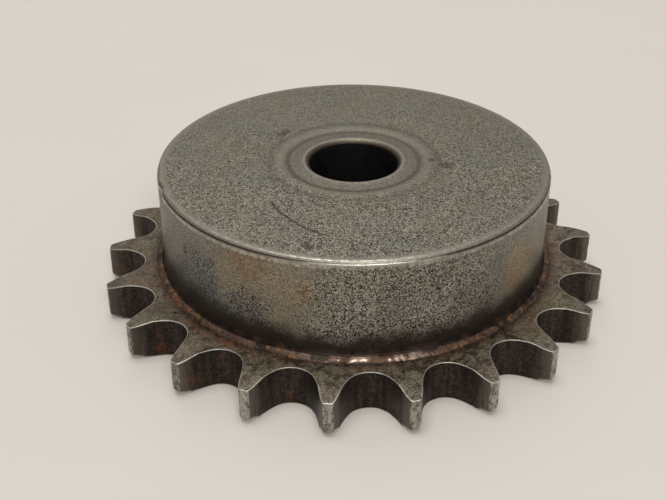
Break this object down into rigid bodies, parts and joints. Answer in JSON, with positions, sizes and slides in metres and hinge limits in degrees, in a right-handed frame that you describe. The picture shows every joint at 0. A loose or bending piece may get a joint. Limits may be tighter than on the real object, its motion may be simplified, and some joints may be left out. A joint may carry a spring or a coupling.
{
  "type": "roller-chain sprocket",
  "caption": "Steel roller-chain sprocket: a toothed plate welded round a wide one-sided hub with a plain round stock bore, worn bright on its edges and rusted at the weld.",
  "frame": {"origin": "on the bore's axis, in the plane of the plate's back face, which the part rests on", "axes": "+Z along the bore's axis, from the plate's back face towards the hub's end; one tooth points along +Y; +X completes the right hand"},
  "size_m": [0.0914, 0.0912, 0.0254],
  "materials": {
    "plate_steel": "hot-rolled plate, olive brown-grey with rust stain, bright worn tooth edges",
    "hub_steel": "turned steel, fine salt-and-pepper corrosion speckle, bright worn rim",
    "weld_metal": "rippled weld bead, rusted red-brown with bright glints"
  },
  "bodies": {
    "root": {"toothed_plate": "plate_steel", "hub": "hub_steel", "hub_weld": "weld_metal", "spigot_weld": "weld_metal"}
  },
  "joints": []
}
